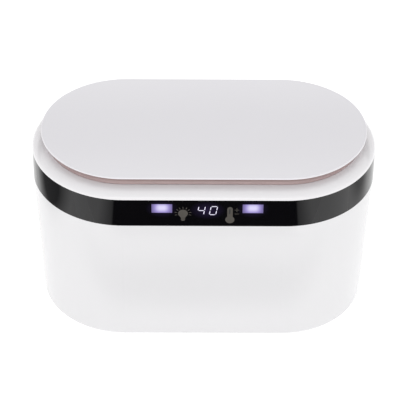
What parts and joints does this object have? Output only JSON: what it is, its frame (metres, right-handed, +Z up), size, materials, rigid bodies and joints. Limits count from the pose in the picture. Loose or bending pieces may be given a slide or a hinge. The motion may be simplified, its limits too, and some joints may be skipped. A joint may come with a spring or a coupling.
{
  "type": "uv sterilizer cabinet",
  "caption": "Counter-top ultraviolet sterilizer box with half-round ends, a hinged overhanging lid, a black display band and a steel chamber with a lift-out tray.",
  "frame": {"origin": "centre of the footprint, on the plane that the feet stand on", "axes": "+Z up, front with the display faces -Y, +X along the width to the right seen from the front"},
  "size_m": [0.27, 0.146, 0.159],
  "materials": {
    "white_shell": "gloss",
    "white_inner": "satin",
    "black_gloss": "gloss",
    "rose_trim": "satin metallic",
    "steel": "brushed",
    "hinge_steel": "satin",
    "screws": "zinc plated",
    "rubber": "matte",
    "heater_mat": "matte silicone",
    "foam": "matte foam",
    "board": "solder mask",
    "black_part": "satin",
    "connector": "satin",
    "capacitor_can": "satin",
    "contact": "polished",
    "lamp": "gloss",
    "window_glow": "frosted, lit",
    "reflector": "polished",
    "quartz": "clear",
    "lead": "satin"
  },
  "bodies": {
    "base": {"base_plate": "white_shell", "base_screws": "screws", "board_connectors": "connector", "buzzer": "black_part", "capacitors": "capacitor_can", "dc_jack": "black_part", "dc_jack_contact": "contact", "display_module": "black_part", "display_pcb": "board", "display_screws": "screws", "fascia_band": "black_gloss", "foot_front_left": "rubber", "foot_front_right": "rubber", "foot_rear_left": "rubber", "foot_rear_right": "rubber", "front_harness": "lead", "heater_pad": "heater_mat", "hinge_bracket_left": "hinge_steel", "hinge_bracket_right": "hinge_steel", "hinge_pin_left": "hinge_steel", "hinge_pin_right": "hinge_steel", "hinge_screws": "screws", "indicator_leds": "lamp", "inner_tub": "steel", "insulation_pad": "foam", "lid_lead_base": "lead", "lid_switch": "black_part", "light_window_left": "window_glow", "light_window_right": "window_glow", "main_pcb": "board", "mcu_chip": "black_part", "outer_shell": "white_shell", "pcb_screws": "screws", "switch_spring": "hinge_steel", "thermal_cutoff": "capacitor_can", "thermistor": "black_part", "tool_tray": "steel", "top_collar": "white_shell", "touch_pads": "foam"},
    "lid": {"lid_plate": "white_shell", "lid_trim_ring": "rose_trim", "lid_inner_cover": "white_inner", "lid_gasket": "rubber", "uv_board": "board", "uv_leds": "lamp", "uv_reflector": "reflector", "uv_window": "quartz", "uv_connector": "connector", "lid_screws": "screws", "lid_knuckle_left": "hinge_steel", "lid_knuckle_right": "hinge_steel", "knuckle_screws": "screws", "lid_lead_top": "lead"},
    "plunger": {"switch_plunger": "white_inner"}
  },
  "joints": [
    {"name": "lid_hinge", "type": "hinge", "parent": "base", "child": "lid", "pos_m": [0, 0.0649, 0.153], "axis": [-1, 0, 0], "range_deg": [0, 105]},
    {"name": "switch_slide", "type": "slide", "parent": "base", "child": "plunger", "axis": [0, 0, 1], "range_m": [0, 0.002], "deforming": ["switch_spring"]}
  ],
  "couplings": [
    {"joint": "switch_slide", "follows": "lid_hinge", "m_per_rad": 0.0010913}
  ]
}
